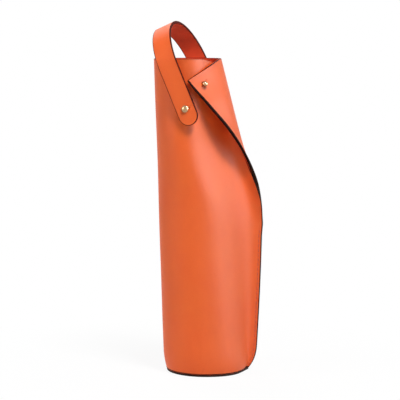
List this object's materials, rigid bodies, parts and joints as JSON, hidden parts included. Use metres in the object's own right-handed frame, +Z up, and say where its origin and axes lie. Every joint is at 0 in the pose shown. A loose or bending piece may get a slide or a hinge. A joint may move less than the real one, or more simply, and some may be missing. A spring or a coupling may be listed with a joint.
{
  "type": "bottle carrier",
  "caption": "Round leather bottle carrier with a stitched side seam, a corner flap that buttons over the front on a ball stud, and a loop strap handle that swings on two studs.",
  "frame": {"origin": "middle of the base disc, on its underside", "axes": "+Z up, +X towards the stitched side seam, -Y towards the front with the closure"},
  "size_m": [0.1128, 0.1022, 0.3637],
  "materials": {
    "leather": "satin full-grain leather, orange",
    "lining": "matt suede side, red-orange",
    "thread": "waxed thread",
    "sole": "dark painted edge leather",
    "board": "fibre board",
    "brass": "satin pale brass"
  },
  "bodies": {
    "body": {"body_panel": "leather", "body_lining": "lining", "side_seam_thread": "thread", "base_sole": "sole", "base_board": "board", "base_lining": "lining", "front_stud_cap": "brass", "front_spacer": "sole", "front_washer": "brass", "front_screw": "brass", "rear_stud_cap": "brass", "rear_spacer": "sole", "rear_washer": "brass", "rear_screw": "brass", "closure_stud": "brass", "closure_washer": "brass", "closure_screw": "brass"},
    "flap": {"closure_flap": "leather", "closure_flap_lining": "lining"},
    "handle": {"handle_strap": "leather", "handle_strap_lining": "lining"}
  },
  "joints": [
    {"name": "handle_swing", "type": "hinge", "parent": "body", "child": "handle", "pos_m": [-0.00519, -0.00189, 0.2755], "axis": [0.3428, 0.9394, 0], "range_deg": [-66, 30]},
    {"name": "flap_fold", "type": "hinge", "parent": "body", "child": "flap", "pos_m": [0.0583, 0.00305, 0.155], "axis": [-0.2425, 0, 0.9701], "range_deg": [0, 104]}
  ]
}
